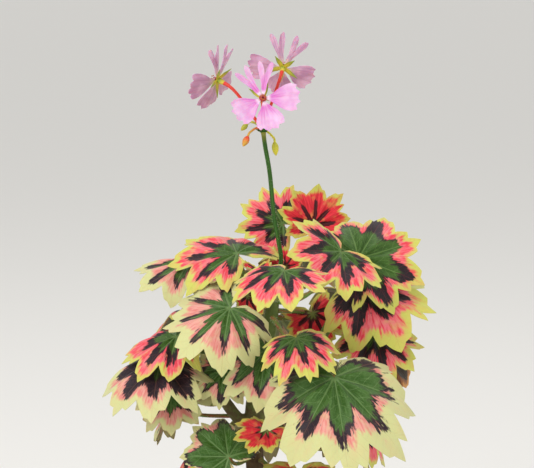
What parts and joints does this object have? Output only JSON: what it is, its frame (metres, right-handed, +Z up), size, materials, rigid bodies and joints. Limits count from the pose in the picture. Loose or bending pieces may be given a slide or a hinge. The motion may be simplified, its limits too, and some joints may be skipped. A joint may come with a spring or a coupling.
{
  "type": "potted geranium",
  "caption": "Potted geranium: star-shaped variegated leaves on a branching stem and one stalk of pink flowers, in a plain tapered clay pot with a collar.",
  "frame": {"origin": "middle of the pot's foot, on the face it stands on", "axes": "+Z straight up out of the pot; -Y towards the fullest side of the plant, the side seen in the picture; +X to the right as seen from there"},
  "size_m": [0.1676, 0.1589, 0.3484],
  "materials": {
    "clay": "matte",
    "soil": "matte",
    "stem": "matte",
    "green_stalk": "satin",
    "red_stalk": "satin",
    "sepal": "matte",
    "petal": "satin",
    "young_leaf": "satin",
    "grown_leaf": "satin",
    "pale_leaf": "matte",
    "withered_leaf": "matte"
  },
  "bodies": {
    "root": {"bud_1": "sepal", "bud_2": "sepal", "bud_3": "sepal", "calyx_front": "sepal", "calyx_left": "sepal", "calyx_right": "sepal", "corolla_front": "petal", "corolla_left": "petal", "corolla_right": "petal", "flower_stalk": "green_stalk", "leaf_01": "grown_leaf", "leaf_02": "young_leaf", "leaf_03": "grown_leaf", "leaf_04": "grown_leaf", "leaf_05": "grown_leaf", "leaf_06": "grown_leaf", "leaf_07": "pale_leaf", "leaf_08": "pale_leaf", "leaf_09": "young_leaf", "leaf_10": "young_leaf", "leaf_11": "young_leaf", "leaf_12": "grown_leaf", "leaf_13": "grown_leaf", "leaf_14": "grown_leaf", "leaf_15": "grown_leaf", "leaf_16": "pale_leaf", "leaf_17": "pale_leaf", "leaf_18": "pale_leaf", "leaf_19": "pale_leaf", "leaf_20": "pale_leaf", "leaf_21": "pale_leaf", "leaf_22": "young_leaf", "leaf_23": "young_leaf", "leaf_24": "withered_leaf", "leaf_25": "pale_leaf", "leaf_26": "young_leaf", "leaf_27": "grown_leaf", "leaf_28": "grown_leaf", "leaf_29": "grown_leaf", "leaf_30": "grown_leaf", "leaf_31": "pale_leaf", "leaf_32": "pale_leaf", "leaf_33": "pale_leaf", "leaf_34": "pale_leaf", "leaf_35": "pale_leaf", "leaf_36": "pale_leaf", "leaf_37": "pale_leaf", "leaf_38": "grown_leaf", "leaf_39": "pale_leaf", "leaf_40": "grown_leaf", "leaf_41": "grown_leaf", "pedicel_front": "red_stalk", "pedicel_left": "red_stalk", "pedicel_right": "red_stalk", "pot": "clay", "soil": "soil", "stem": "stem"}
  },
  "joints": []
}
